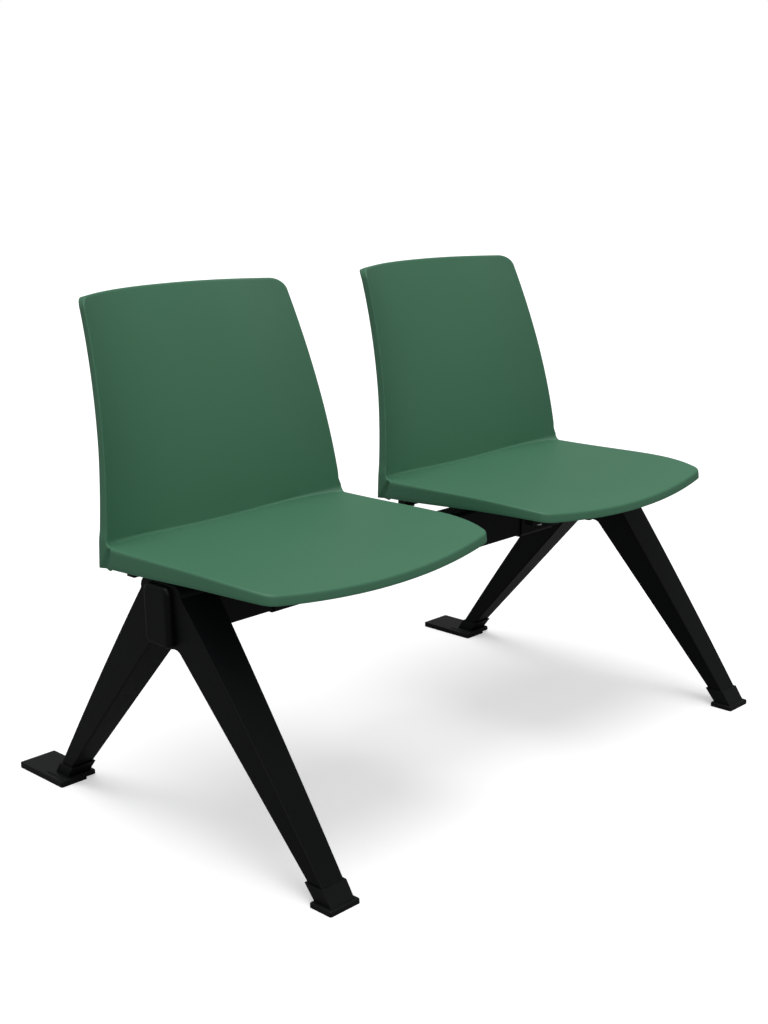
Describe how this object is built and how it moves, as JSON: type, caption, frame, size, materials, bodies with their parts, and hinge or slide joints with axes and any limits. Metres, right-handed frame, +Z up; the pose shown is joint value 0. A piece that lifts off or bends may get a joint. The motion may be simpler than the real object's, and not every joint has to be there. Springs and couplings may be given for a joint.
{
  "type": "beam seating bench",
  "caption": "Beam bench with one-piece moulded plastic seat shells clamped to a rectangular steel beam on cast inverted-V legs with plastic boots and flat rear foot plates.",
  "frame": {"origin": "on the floor under the middle of the bench's bounding box", "axes": "+X along the beam, -Y is the side the sitters face, +Z up"},
  "size_m": [1.1048, 0.757, 0.81],
  "materials": {
    "green_shell": "fine moulded grain, satin",
    "black_plastic": "satin moulded plastic",
    "black_steel": "satin powder coat",
    "black_cast": "satin powder coat on cast aluminium",
    "zinc_steel": "zinc plated",
    "brass_insert": "turned brass"
  },
  "bodies": {
    "root": {"beam": "black_steel", "beam_end_cap_left": "black_plastic", "beam_end_cap_right": "black_plastic", "clamp_bolts": "zinc_steel", "clamp_nuts": "zinc_steel", "clamp_strap_left": "black_steel", "clamp_strap_right": "black_steel", "clamp_washers": "zinc_steel", "cross_bar_plugs": "black_plastic", "front_boot_left": "black_plastic", "front_boot_right": "black_plastic", "front_boot_screws": "zinc_steel", "front_cross_bar_left": "black_steel", "front_cross_bar_right": "black_steel", "leg_bolts": "zinc_steel", "leg_left": "black_cast", "leg_right": "black_cast", "leg_washers": "zinc_steel", "nut_plate_left": "zinc_steel", "nut_plate_right": "zinc_steel", "rear_boot_left": "black_plastic", "rear_boot_right": "black_plastic", "rear_cross_bar_left": "black_steel", "rear_cross_bar_right": "black_steel", "rear_foot_plate_left": "black_plastic", "rear_foot_plate_right": "black_plastic", "rear_foot_screws": "zinc_steel", "seat_carrier_left": "black_steel", "seat_carrier_right": "black_steel", "seat_shell_left": "green_shell", "seat_shell_right": "green_shell", "shell_inserts": "brass_insert", "shell_screws": "zinc_steel"}
  },
  "joints": []
}
